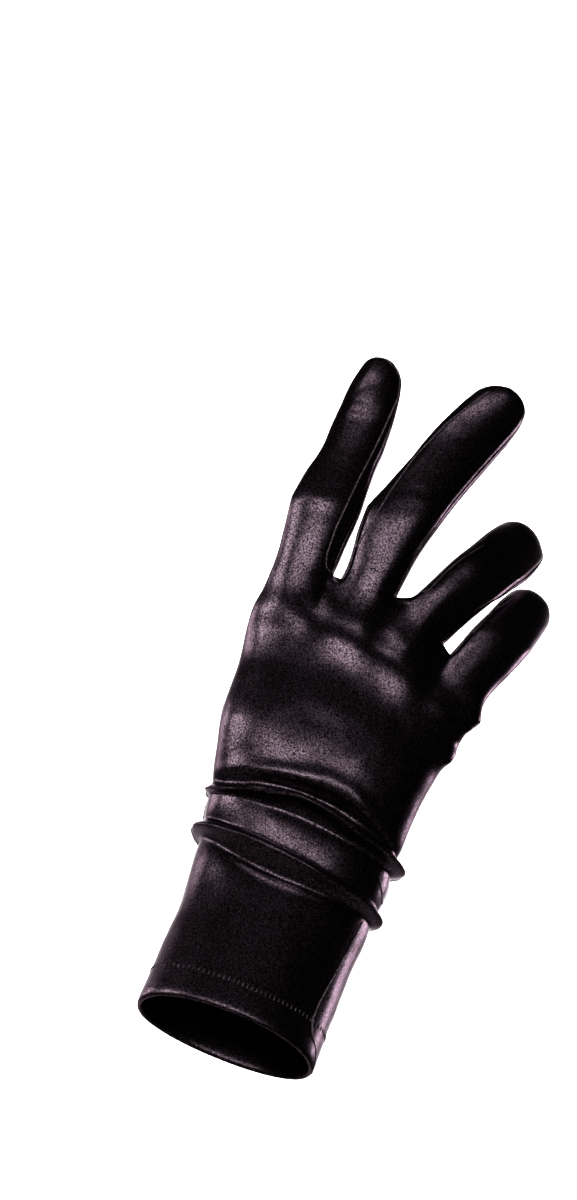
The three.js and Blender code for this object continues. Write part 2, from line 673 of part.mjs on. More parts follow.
// One piece of cloth as a closed solid: outer side, inner side and the rim between them,
// drawn in by half the gap wherever another piece is sewn to it
function makeCloth(name, normals, freeEdges) {
  const own = faces.filter((face) => face.piece === name);
  const rim = openEdges(own);
  const inward = new Map();
  for (const [from, to] of rim) {
    if (freeEdges.has(`${from} ${to}`)) continue;
    const along = points[to].place.clone().sub(points[from].place).normalize();
    for (const id of [from, to]) {
      const side = new THREE.Vector3().crossVectors(normals[id].mean, along).normalize();
      inward.set(id, [...(inward.get(id) ?? []), side]);
    }
  }
  const drawnIn = (id) => {
    const [one, other] = inward.get(id) ?? [vector(0, 0, 0)];
    if (!other) return one.clone().multiplyScalar(seamGap / 2);
    return one.clone().add(other).multiplyScalar(seamGap / 2 / Math.max(1 + one.dot(other), 0.4));
  };
  const ids = [...new Set(own.flatMap((face) => face.corners))];
  const order = new Map(ids.map((id, i) => [id, i]));
  const outside = [];
  const inside = [];
  for (const id of ids) {
    const { place, lift, wall } = points[id];
    const shift = drawnIn(id);
    const { mean, step } = normals[id];
    const lining = Math.min(lift, lift * liningShare);
    outside.push(place.clone().add(shift).addScaledVector(mean, lift));
    inside.push(place.clone().add(shift).addScaledVector(mean, lining).addScaledVector(step, -wall));
  }
  const count = ids.length;
  const index = [];
  const addSquare = (a, b, c, d) => index.push(a, b, c, a, c, d);
  for (const { corners } of own) {
    const [a, b, c, d] = corners.map((id) => order.get(id));
    addSquare(a, b, c, d);
    addSquare(a + count, d + count, c + count, b + count);
  }
  for (const [from, to] of rim) {
    const [a, b] = [order.get(from), order.get(to)];
    if (from < to) addSquare(a, a + count, b + count, b);
    else addSquare(b, a, a + count, b + count);
  }
  const positions = [...outside, ...inside].flatMap((place) => place.toArray());
  const geometry = new THREE.BufferGeometry();
  geometry.setAttribute("position", new THREE.Float32BufferAttribute(positions, 3));
  geometry.setIndex(index);
  geometry.computeVertexNormals();
  return geometry;
}

const satin = { color: 0x1c151a, roughness: 0.42, metalness: 0 };
const names = ["trank", ...fingers.slice(0, -1).map((_, f) => fourchetteName(f)), "thumb"];
const normals = pointNormals();
const freeEdges = new Set(openEdges(faces).map(([from, to]) => `${from} ${to}`));
const glove = new THREE.Group();
glove.name = "dress_glove";
for (const name of names) {
  const mesh = new THREE.Mesh(makeCloth(name, normals, freeEdges), new THREE.MeshStandardMaterial(satin));
  mesh.name = name;
  glove.add(mesh);
}

export default glove;
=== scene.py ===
import heapq
import math
import bmesh
import bpy
import numpy as np
from mathutils import Matrix, Vector, noise
from mathutils.bvhtree import BVHTree


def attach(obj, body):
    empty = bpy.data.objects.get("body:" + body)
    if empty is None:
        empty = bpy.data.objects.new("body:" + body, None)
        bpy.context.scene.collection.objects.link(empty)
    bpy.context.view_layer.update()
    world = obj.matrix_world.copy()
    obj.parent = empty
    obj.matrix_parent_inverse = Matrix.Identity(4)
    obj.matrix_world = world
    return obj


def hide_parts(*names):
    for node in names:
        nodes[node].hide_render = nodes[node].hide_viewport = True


# A wrist length dress glove in stretch satin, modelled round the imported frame. Lengths in metres.
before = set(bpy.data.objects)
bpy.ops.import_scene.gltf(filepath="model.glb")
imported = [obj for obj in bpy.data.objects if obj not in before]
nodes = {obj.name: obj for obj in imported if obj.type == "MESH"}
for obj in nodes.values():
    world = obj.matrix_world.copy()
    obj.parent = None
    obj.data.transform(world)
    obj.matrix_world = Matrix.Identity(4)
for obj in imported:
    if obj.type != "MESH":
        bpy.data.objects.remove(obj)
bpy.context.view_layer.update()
mm = 0.001
degrees = math.pi / 180


def selectOnly(obj):
    bpy.ops.object.select_all(action="DESELECT")
    obj.select_set(True)
    bpy.context.view_layer.objects.active = obj


def smoothStep(low, high, value):
    t = np.clip((value - low) / (high - low), 0, 1)
    return t * t * (3 - 2 * t)


# Camera: it looks up at the hand, with the hand leaning to the left in the picture
shot = {
    "target": Vector((0, -37.6, 98.0)) * mm,
    "elevation": -21 * degrees,
    "roll": 22 * degrees,
    "distance": 1.4,
    "lens": 128,
    "sensor": 36,
    "clip": (0.05, 50),
    "across": -18.5 * mm,  # the middle of the picture, from the target
    "up": 46.6 * mm,
}


def makeCamera():
    ahead = Vector((0, math.cos(shot["elevation"]), -math.sin(shot["elevation"])))
    level = Vector((1, 0, 0))
    upright = level.cross(ahead)
    across = math.cos(shot["roll"]) * level + math.sin(shot["roll"]) * upright
    up = math.cos(shot["roll"]) * upright - math.sin(shot["roll"]) * level
    bpy.ops.object.camera_add()
    camera = bpy.context.object
    camera.name = "camera"
    camera.location = shot["target"] - ahead * shot["distance"]
    aim = shot["target"] + across * shot["across"] + up * shot["up"] - camera.location
    aim.normalize()
    across = aim.cross(up).normalized()
    turn = Matrix((across, across.cross(aim), -aim)).transposed()
    camera.rotation_euler = turn.to_euler()
    camera.data.lens = shot["lens"]
    camera.data.sensor_width = shot["sensor"]
    camera.data.clip_start, camera.data.clip_end = shot["clip"]
    bpy.context.scene.camera = camera
    return turn.copy(), camera.location.copy()


cameraTurn, cameraPlace = makeCamera()
# The photograph's frame in pixels, and how many of them a millimetre takes at the glove
picture = {"width": 577, "height": 1200, "perMm": 3.05}
pixelsPerSlope = shot["lens"] / shot["sensor"] * picture["height"]
print("camera done")


# Where points of the glove fall in the picture, in its own pixels from the top left
def inPicture(places):
    seen = (places - np.array(cameraPlace)) @ np.array(cameraTurn)
    across = picture["width"] / 2 + pixelsPerSlope * seen[:, 0] / -seen[:, 2]
    down = picture["height"] / 2 - pixelsPerSlope * seen[:, 1] / -seen[:, 2]
    return np.stack([across, down], 1)


# The way from the camera through a point of the picture
def cameraRay(spot):
    across = (spot[0] - picture["width"] / 2) / pixelsPerSlope
    up = (picture["height"] / 2 - spot[1]) / pixelsPerSlope
    return (cameraTurn @ Vector((across, up, -1))).normalized()


# Soft studio: long lamps round the glove, and a pale sweep behind and below
studio = {
    "floor": -1.75,
    "back": 2.4,
    "width": 9.0,
    "height": 5.0,
    "bend": 1.2,
    "bendSteps": 16,
    "paper": (0.82, 0.81, 0.8, 1),
    "paperRoughness": 0.9,
    "room": (1, 0.98, 0.97, 1),  # what lights the glove between the lamps
    "roomStrength": 0.008,
    "pale": (0.8, 0.79, 0.78, 1),  # what the camera sees past the paper
    "aim": (0, 0, 0.12),  # where a lamp looks, and its spread, unless it has its own
    "spread": 80,
}
lamps = [
    {"name": "key", "at": (-0.24, -1.56, -0.03), "size": (1.8, 0.34), "power": 2.5},
    {"name": "key_left", "at": (-1.5, -0.5, 0.14), "size": (1.2, 0.3), "power": 1.8},
    {"name": "key_behind", "at": (-1.35, 0.85, 0.34), "size": (1.0, 0.26), "power": 1.2},
    {"name": "high", "at": (-0.35, -0.75, 1.45), "size": (1.3, 0.3), "power": 1.0},
    {"name": "rim_right", "at": (1.2, 0.95, 0.72), "size": (0.5, 0.4), "power": 1.6},
    {"name": "backdrop_left", "at": (-1.6, 1.9, 1.9), "size": (0.8, 0.8), "power": 90,
     "aim": (0.3, 3.6, 1.5), "spread": 130},
    {"name": "backdrop_right", "at": (1.6, 1.9, 1.9), "size": (0.8, 0.8), "power": 90,
     "aim": (-0.3, 3.6, 1.5), "spread": 130},
]


def makeLamp(lamp):
    bpy.ops.object.light_add(type="AREA", location=lamp["at"])
    light = bpy.context.object
    light.name = "lamp_" + lamp["name"]
    light.data.shape = "RECTANGLE"
    light.data.size, light.data.size_y = lamp["size"]
    light.data.energy = lamp["power"]
    light.data.spread = lamp.get("spread", studio["spread"]) * degrees
    aim = Vector(lamp.get("aim", studio["aim"])) - light.location
    light.rotation_euler = aim.to_track_quat("-Z", "Y").to_euler()


def makePaper():
    paper = bpy.data.materials.new("backdrop_paper")
    paper.use_nodes = True
    shader = paper.node_tree.nodes["Principled BSDF"]
    shader.inputs["Base Color"].default_value = studio["paper"]
    shader.inputs["Roughness"].default_value = studio["paperRoughness"]
    return paper


def makeStage():
    bpy.ops.mesh.primitive_plane_add(size=1, location=(0, 0, studio["floor"]))
    sweep = bpy.context.object
    sweep.name = "backdrop"
    bpy.ops.object.mode_set(mode="EDIT")
    bpy.ops.transform.resize(value=(studio["width"], 2 * studio["back"], 1))
    bpy.ops.object.mode_set(mode="OBJECT")
    mesh = bmesh.new()
    mesh.from_mesh(sweep.data)
    edge = max(mesh.edges, key=lambda e: sum(v.co.y for v in e.verts))
    verts = sorted(edge.verts, key=lambda v: v.co.x)
    steps = studio["bendSteps"]
    for i in range(1, steps + 2):
        turn = min(i / steps, 1) * math.pi / 2
        y = studio["back"] + studio["bend"] * math.sin(turn)
        z = studio["bend"] * (1 - math.cos(turn)) + (studio["height"] if i > steps else 0)
        new = [mesh.verts.new((v.co.x, y, z)) for v in verts]
        mesh.faces.new((verts[0], verts[1], new[1], new[0]))
        verts = new
    mesh.normal_update()
    mesh.to_mesh(sweep.data)
    mesh.free()
    selectOnly(sweep)
    bpy.ops.object.transform_apply(location=True, rotation=True, scale=True)
    bpy.ops.object.shade_smooth()
    sweep.data.materials.append(makePaper())


# A dark room round the lamps, which looks as pale as the paper from any side
def makeWorld():
    world = bpy.data.worlds.new("studio")
    world.use_nodes = True
    nodeTree = world.node_tree
    room = nodeTree.nodes["Background"]
    room.inputs["Color"].default_value = studio["room"]
    room.inputs["Strength"].default_value = studio["roomStrength"]
    pale = nodeTree.nodes.new("ShaderNodeBackground")
    pale.inputs["Color"].default_value = studio["pale"]
    path = nodeTree.nodes.new("ShaderNodeLightPath")
    either = nodeTree.nodes.new("ShaderNodeMixShader")
    link = nodeTree.links.new
    link(path.outputs["Is Camera Ray"], either.inputs[0])
    link(room.outputs[0], either.inputs[1])
    link(pale.outputs[0], either.inputs[2])
    link(either.outputs[0], nodeTree.nodes["World Output"].inputs["Surface"])
    bpy.context.scene.world = world


for lamp in lamps:
    makeLamp(lamp)
makeStage()
makeWorld()
bpy.context.scene.view_settings.view_transform = "Standard"
bpy.context.scene.view_settings.look = "Medium High Contrast"
print("studio done")


# Satin: a near black knit with a fine grain and a purple-grey lustre
knitLook = {
    "scale": 1900.0,
    "detail": 2,
    "roughness": 0.7,
    "contrast": (0.4, 0.66),
    "cloudScale": 60,
    "cloudDetail": 4,
}


def addSocket(group, name, way, kind, value=None):
    socket = group.interface.new_socket(name=name, in_out=way, socket_type=kind)
    if value is not None:
        socket.default_value = value
    return socket


def makeKnitGroup():
    group = bpy.data.node_groups.new("fine_knit", "ShaderNodeTree")
    addSocket(group, "Vector", "INPUT", "NodeSocketVector")
    addSocket(group, "Scale", "INPUT", "NodeSocketFloat", knitLook["scale"])
    addSocket(group, "Grain", "OUTPUT", "NodeSocketFloat")
    addSocket(group, "Cloud", "OUTPUT", "NodeSocketFloat")
    tree = group.nodes
    start = tree.new("NodeGroupInput")
    end = tree.new("NodeGroupOutput")
    loops = tree.new("ShaderNodeTexNoise")
    cloud = tree.new("ShaderNodeTexNoise")
    contrast = tree.new("ShaderNodeMapRange")
    loops.inputs["Detail"].default_value = knitLook["detail"]
    loops.inputs["Roughness"].default_value = knitLook["roughness"]
    contrast.inputs["From Min"].default_value = knitLook["contrast"][0]
    contrast.inputs["From Max"].default_value = knitLook["contrast"][1]
    cloud.inputs["Scale"].default_value = knitLook["cloudScale"]
    cloud.inputs["Detail"].default_value = knitLook["cloudDetail"]
    link = group.links.new
    for node in (loops, cloud):
        link(start.outputs["Vector"], node.inputs["Vector"])
    link(start.outputs["Scale"], loops.inputs["Scale"])
    link(loops.outputs["Fac"], contrast.inputs["Value"])
    link(contrast.outputs["Result"], end.inputs["Grain"])
    link(cloud.outputs["Fac"], end.inputs["Cloud"])
    return group


knit = makeKnitGroup()
satinLook = {
    "deep": (0.010, 0.007, 0.009, 1),
    "lit": (0.152, 0.114, 0.138, 1),
    "metal": 0.97,
    "roughness": (0.275, 0.3),
    "edge": (0.62, 0.56, 0.6, 1),
    "specular": 0.3,
    "sheen": 0.01,
    "sheenRoughness": 0.4,
    "sheenTint": (0.6, 0.45, 0.56, 1),
    "grainStrength": 0.1,
    "grainDepth": 0.0001,
}
# Sewing thread: the cloth's colour, a little lighter and less metallic, with the knit's fine grain
threadLook = {
    "deep": (0.02, 0.014, 0.018, 1),
    "lit": (0.3, 0.23, 0.27, 1),
    "metal": 0.3,
    "roughness": 0.5,
}
mixSockets = {"share": 0, "first": 6, "second": 7, "result": 2}  # of a mix node for colours


# A material whose colour goes from deep to lit with the knit's grain
def startMaterial(name, look):
    material = bpy.data.materials.new(name)
    material.use_nodes = True
    nodeTree = material.node_tree
    shader = nodeTree.nodes["Principled BSDF"]
    place = nodeTree.nodes.new("ShaderNodeTexCoord")
    weave = nodeTree.nodes.new("ShaderNodeGroup")
    weave.node_tree = knit
    colour = nodeTree.nodes.new("ShaderNodeMix")
    colour.data_type = "RGBA"
    colour.inputs[mixSockets["first"]].default_value = look["deep"]
    colour.inputs[mixSockets["second"]].default_value = look["lit"]
    link = nodeTree.links.new
    link(place.outputs["Object"], weave.inputs["Vector"])
    link(weave.outputs["Grain"], colour.inputs[mixSockets["share"]])
    link(colour.outputs[mixSockets["result"]], shader.inputs["Base Color"])
    shader.inputs["Metallic"].default_value = look["metal"]
    return material, shader, weave


def makeSatin():
    satin, shader, weave = startMaterial("satin", satinLook)
    nodeTree = satin.node_tree
    link = nodeTree.links.new
    rough = nodeTree.nodes.new("ShaderNodeMapRange")
    smoothest, roughest = satinLook["roughness"]
    rough.inputs["To Min"].default_value = smoothest
    rough.inputs["To Max"].default_value = roughest
    link(weave.outputs["Cloud"], rough.inputs["Value"])
    link(rough.outputs["Result"], shader.inputs["Roughness"])
    bump = nodeTree.nodes.new("ShaderNodeBump")
    bump.inputs["Strength"].default_value = satinLook["grainStrength"]
    bump.inputs["Distance"].default_value = satinLook["grainDepth"]
    link(weave.outputs["Grain"], bump.inputs["Height"])
    link(bump.outputs["Normal"], shader.inputs["Normal"])
    shader.inputs["Specular Tint"].default_value = satinLook["edge"]
    shader.inputs["Specular IOR Level"].default_value = satinLook["specular"]
    shader.inputs["Sheen Weight"].default_value = satinLook["sheen"]
    shader.inputs["Sheen Roughness"].default_value = satinLook["sheenRoughness"]
    shader.inputs["Sheen Tint"].default_value = satinLook["sheenTint"]
    return satin


def makeThread():
    thread, shader, _ = startMaterial("thread", threadLook)
    shader.inputs["Roughness"].default_value = threadLook["roughness"]
    return thread


satin = makeSatin()
thread = makeThread()
print("materials done")

# Cloth pieces: each is a copy of its CAD node's mesh, merged, made of squares again and subdivided
cloth = {
    "merge": 0.02 * mm,
    "changeCost": 0.05,  # radians, what it costs to pair a triangle anew
    "levels": 2,
    "seamAngle": 52 * degrees,
    "crease": 0.85,
    "creaseAbove": 88 * mm,  # the wrist's folds and the hem stay round
    "smoothAngle": 48 * degrees,  # the outer side and the lining meet at sharper edges than this
}


# How far the two triangles at an edge are from one flat square, in radians
def squareness(edge):
    first, second = edge.link_faces
    cost = 2 * edge.calc_face_angle(0)
    ends = {vert: 0 for vert in edge.verts}
    for loop in list(first.loops) + list(second.loops):
        if loop.vert in ends:
            ends[loop.vert] += loop.calc_angle()
        else:
            cost += abs(loop.calc_angle() - math.pi / 2)
    return cost + sum(abs(turn - math.pi / 2) for turn in ends.values())


# Joins the triangles in pairs, and where some are left over, changes the pairs along the best way
def squareUp(mesh):
    costs = {edge: squareness(edge) for edge in mesh.edges if len(edge.link_faces) == 2}
    partner = {}
    for edge in sorted(costs, key=costs.get):
        first, second = edge.link_faces
        if first not in partner and second not in partner:
            partner[first] = partner[second] = edge
    for start in [face for face in mesh.faces if face not in partner]:
        if start in partner:
            continue
        reached, came, queue, end = {start: 0}, {}, [(0, start.index, start)], None
        while queue and end is None:
            cost, _, face = heapq.heappop(queue)
            if face not in partner and face != start:
                end = face
                break
            if cost > reached[face]:
                continue
            for edge in face.edges:
                if edge not in costs or partner.get(face) == edge:
                    continue
                beyond = next(other for other in edge.link_faces if other != face)
                if beyond not in partner:
                    step, following = costs[edge], beyond
                else:
                    old = partner[beyond]
                    following = next(other for other in old.link_faces if other != beyond)
                    step = max(costs[edge] - costs[old], 0) + cloth["changeCost"]
                if cost + step < reached.get(following, math.inf):
                    reached[following] = cost + step
                    came[following] = (face, edge, beyond)
                    heapq.heappush(queue, (cost + step, following.index, following))
        while end is not None and end != start:
            face, edge, beyond = came[end]
            partner[face] = partner[beyond] = edge
            end = face
    inside = list(dict.fromkeys(partner.values()))  # each edge once, in the same order at every run
    bmesh.ops.dissolve_edges(mesh, edges=inside, use_verts=False)


# Keeps at each point the way out of the glove, for the outer side and the lining alike
def markOutwards(mesh):
    outwards = mesh.verts.layers.float_vector.new("outwards")
    start = min(mesh.faces, key=lambda f: f.calc_center_median().y)
    outer, queue = {start}, [start]
    while queue:
        for edge in queue.pop().edges:
            for face in edge.link_faces:
                if face not in outer and edge.calc_face_angle(0) < cloth["smoothAngle"]:
                    outer.add(face)
                    queue.append(face)
    for vert in mesh.verts:
        isOuter = any(face in outer for face in vert.link_faces)
        vert[outwards] = vert.normal if isOuter else -vert.normal
    print("outer faces", len(outer), "of", len(mesh.faces))


def clothPiece(name):
    source = nodes[name]
    piece = bpy.data.objects.new(name + "_satin", source.data.copy())
    bpy.context.scene.collection.objects.link(piece)
    piece.data.materials.clear()
    piece.data.materials.append(satin)
    mesh = bmesh.new()
    mesh.from_mesh(piece.data)
    bmesh.ops.remove_doubles(mesh, verts=mesh.verts, dist=cloth["merge"])
    mesh.faces.index_update()
    squareUp(mesh)
    mesh.normal_update()
    crease = mesh.edges.layers.float.new("crease_edge")
    for edge in mesh.edges:
        edge.smooth = True
        height = sum(v.co.z for v in edge.verts) / 2
        if height > cloth["creaseAbove"] and edge.calc_face_angle(0) > cloth["seamAngle"]:
            edge[crease] = cloth["crease"]
    markOutwards(mesh)
    mesh.to_mesh(piece.data)
    print(name, "quads", sum(len(f.verts) == 4 for f in mesh.faces), "of", len(mesh.faces))
    mesh.free()
    selectOnly(piece)
    rounding = piece.modifiers.new("round", "SUBSURF")
    rounding.levels = rounding.render_levels = cloth["levels"]
    bpy.ops.object.modifier_apply(modifier=rounding.name)
    bpy.ops.object.shade_smooth()
    return piece


# Folds, lips and creases are worked into the cloth along lines. A point of a line has its place in the
# picture's pixels, and the half width and the lift there in millimetres. A negative lift makes a valley.
wristLines = {
    "upperValley": [(213, 781, 1.2, -0.2), (239, 780, 2.3, -1.9), (268, 783, 2.6, -2.4),
                    (298, 787.5, 3.0, -2.9), (321, 795, 3.6, -3.3), (343, 807, 3.8, -3.3),
                    (358, 821, 3.0, -2.7), (375, 834, 2.0, -1.7), (392, 847, 1.0, -0.6)],
    "upperLip": [(212, 772, 2.4, 0.3), (240, 767, 2.6, 0.5), (270, 769, 2.8, 0.6), (300, 773, 3.0, 0.7),
                 (328, 779, 3.0, 0.7), (352, 791, 3.0, 0.7), (366, 807, 2.8, 0.6), (382, 825, 2.2, 0.3)],
    "middleBand": [(206, 803, 3.4, 0.2), (224, 811, 3.6, 0.3), (245, 817, 3.8, 0.3), (268, 821, 4.0, 0.3),
                   (285, 821, 4.2, 0.2), (303, 832, 4.4, 0.2), (340, 847, 4.2, 0.2),
                   (384, 871, 2.8, 0.1)],
    "cuffSwell": [(298, 914, 5.0, 1.2), (312, 919, 5.2, 1.3)],
}
# The cloth between the two folds lies deeper than round it: the lines that bound it in the picture, and
# its depth and the widths of its upper and lower walls in millimetres
sunkBand = {
    "top": [(186, 786), (206, 786), (224, 793), (245, 798), (265, 802), (283, 801), (303, 814),
            (333, 827), (345, 829), (368, 841), (383, 851), (405, 866)],
    "bottom": [(176, 826), (198, 821), (209, 824), (239, 834), (268, 846), (298, 860), (327, 878),
               (345, 891), (365, 901), (384, 918)],
    "depth": 1.3,
    "walls": (2.8, 1.7),
}
# Under the lower fold: a point of the picture, how far the slanting wall reaches below it and how deep it
# gets. All but the point is in millimetres.
lowerLens = {
    "line": [(204, 830, 1.5, 0.4), (218, 832, 4.1, 1.5), (233, 835, 5.8, 2.2), (248, 841, 7.2, 2.8),
             (262, 847, 7.7, 3.0), (277, 853, 7.4, 2.9), (295, 862, 5.2, 2.0), (312, 872, 2.9, 1.1),
             (330, 883, 1.2, 0.4), (345, 894, 0.9, 0.2), (362, 908, 0.9, 0.1)],
    "lip": 1.9,  # width of the lip below the wall
    "lipDepth": 0.45,
    "lipFrom": 0.4,  # how deep the wall is where the lip gets its full depth
    "back": 24,  # how far the cloth takes to come back
}
handLines = {
    "knuckleRidge": [(236, 612, 5.6, 0.4), (262, 608, 6.4, 1.1), (283, 609, 6.6, 1.3),
                     (306, 618, 6.6, 1.4), (327, 629, 6.4, 1.5), (345, 637, 6.2, 1.6),
                     (362, 646, 6.2, 1.7), (380, 656, 6.2, 1.8), (396, 668, 6.0, 1.8),
                     (412, 682, 5.8, 1.7), (428, 695, 5.4, 1.4), (444, 708, 4.6, 0.8)],
    "underKnuckles": [(256, 658, 6.5, -0.4), (290, 664, 7.5, -0.7), (322, 674, 7.5, -0.8),
                      (350, 688, 7.5, -0.8), (376, 704, 7.0, -0.8), (396, 722, 6.4, -0.6),
                      (412, 740, 5.6, -0.3)],
    "overKnuckles": [(358, 618, 5.0, -0.2), (390, 630, 6.0, -0.4), (414, 646, 6.5, -0.5),
                     (434, 668, 6.0, -0.5), (452, 686, 5.0, -0.2)],
    "tipCrease": [(342, 404, 1.2, -0.5), (354, 407, 1.5, -0.9), (368, 409, 1.4, -0.7),
                  (380, 409, 1.0, -0.3)],
    "tipDents": [(356, 391, 1.7, -0.5), (358, 389, 1.7, -0.5), (370, 383, 1.9, -0.45),
                 (373, 380, 1.9, -0.4)],
    "indexJoint": [(294, 500, 1.8, 0.3), (312, 496, 2.2, 0.5), (334, 500, 2.2, 0.4),
                   (348, 506, 1.6, 0.2)],
    "middleJoint": [(392, 496, 1.8, 0.3), (410, 492, 2.2, 0.5), (432, 503, 2.2, 0.5),
                    (444, 511, 1.6, 0.2)],
    "middleFolds": [(462, 446, 1.2, -0.3), (472, 452, 1.4, -0.4), (484, 452, 1.2, -0.3)],
    "puckerTop": [(452, 716, 1.2, -0.4), (466, 722, 1.4, -0.9), (480, 727, 1.2, -0.6)],
    "puckerLow": [(430, 742, 1.4, -0.4), (442, 744, 1.4, -0.8), (456, 742, 1.2, -0.5)],
    "webHollow": [(318, 570, 2.6, -0.3), (328, 586, 4.0, -0.5), (332, 602, 4.0, -0.2)],
    "webHollowRight": [(372, 600, 3.0, -0.2), (376, 614, 4.0, -0.3)],
}


# Millimetres to a line, positive below it, and the line's values there
def nearLine(spots, line):
    line = np.array(line, float)
    nearest = np.full(len(spots), np.inf)
    values = np.zeros((len(spots), line.shape[1] - 2))
    for start, end in zip(line[:-1], line[1:]):
        way = end[:2] - start[:2]
        share = np.clip((spots - start[:2]) @ way / (way @ way), 0, 1)[:, None]
        off = spots - start[:2] - share * way
        distance = np.hypot(off[:, 0], off[:, 1]) / picture["perMm"]
        side = np.sign(way[0] * off[:, 1] - way[1] * off[:, 0])
        closer = distance < np.abs(nearest)
        nearest[closer] = (distance * np.where(side == 0, 1, side))[closer]
        values[closer] = (start[2:] + share * (end[2:] - start[2:]))[closer]
    return nearest, values


# Across its line, a valley of the wrist has a long wall that faces down and a short one at its foot. They
# meet where it is deepest, in half widths from the line. A swell just rounds off to both sides.
valleyForm = {"deepest": 0.7, "end": 1.3, "curve": 1.4}
swellFall = 1.4


def asValley(across):
    deepest, end = valleyForm["deepest"], valleyForm["end"]
    longWall = np.clip((across + 1) / (deepest + 1), 0, 1) ** valleyForm["curve"]
    shortWall = smoothStep(0, 1, np.clip((end - across) / (end - deepest), 0, 1))
    return np.where(across < deepest, longWall, shortWall)


def asSwell(across):
    return np.exp(-across ** 2 * swellFall)


def liftAlong(spots, lines, valleyShape):
    lift = np.zeros(len(spots))
    for line in lines.values():
        distance, values = nearLine(spots, line)
        across = distance / values[:, 0]
        lift += values[:, 1] * np.where(values[:, 1] < 0, valleyShape(across), asSwell(across))
    return lift


def sinkAlong(spots):
    top = nearLine(spots, sunkBand["top"])[0]
    bottom = nearLine(spots, sunkBand["bottom"])[0]
    upperWall, lowerWall = sunkBand["walls"]
    lift = -sunkBand["depth"] * smoothStep(0, upperWall, top) * smoothStep(0, lowerWall, -bottom)
    below, values = nearLine(spots, lowerLens["line"])
    reach, depth = values.T
    onLip = np.clip((below - reach) / lowerLens["lip"], 0, 1)
    back = smoothStep(0, lowerLens["back"], below - reach - lowerLens["lip"])
    share = np.clip(depth / lowerLens["lipFrom"], 0, 1)
    sunk = depth * np.clip(below / reach, 0, 1) + share * lowerLens["lipDepth"] * onLip
    return lift - sunk * (1 - back)


# The fingers bow at their joints: along a finger's middle line, a point in the picture's pixels and how
# far the whole finger stands towards the camera there, in millimetres
fingerBows = {
    "index": [(304, 590, 0), (311, 563, 0.4), (330, 498, 1.7), (346, 452, 0.9), (366, 410, -0.6),
              (374, 392, -2.4), (384, 362, -6.5)],
    "ring": [(416, 632, 0), (440, 608, -3.0), (473, 578, -5.8), (534, 536, -7.0)],
    "little": [(440, 700, 0), (462, 672, -3.0), (488, 640, -5.4), (545, 598, -6.6)],
    "middle": [(364, 600, 0), (374, 576, 0.4), (408, 506, 1.7), (438, 463, 0.9), (475, 434, 0.9),
               (516, 402, 0.7)],
}
# The same for the whole hand, by its height in millimetres
handBow = [(-10, 5.2), (42, 0), (62, 0), (98, 2.3), (146, -3.2), (400, -3.2)]
bowReach = (13, 19)  # millimetres from the middle line where a bow holds in full, and where it ends
bowRounding = {"hand": (-6, -4, -2, 0, 2, 4, 6), "finger": (-2, -1, 0, 1, 2)}  # millimetres, averaged
# The fingers' middle lines in the picture, which tell whose cloth a push moves
fingerLines = {
    "index": [(304, 590), (330, 498), (366, 410), (384, 368)],
    "middle": [(364, 600), (408, 506), (438, 463), (516, 402)],
    "ring": [(416, 632), (473, 578), (534, 536)],
    "little": [(440, 700), (488, 640), (545, 598)],
}
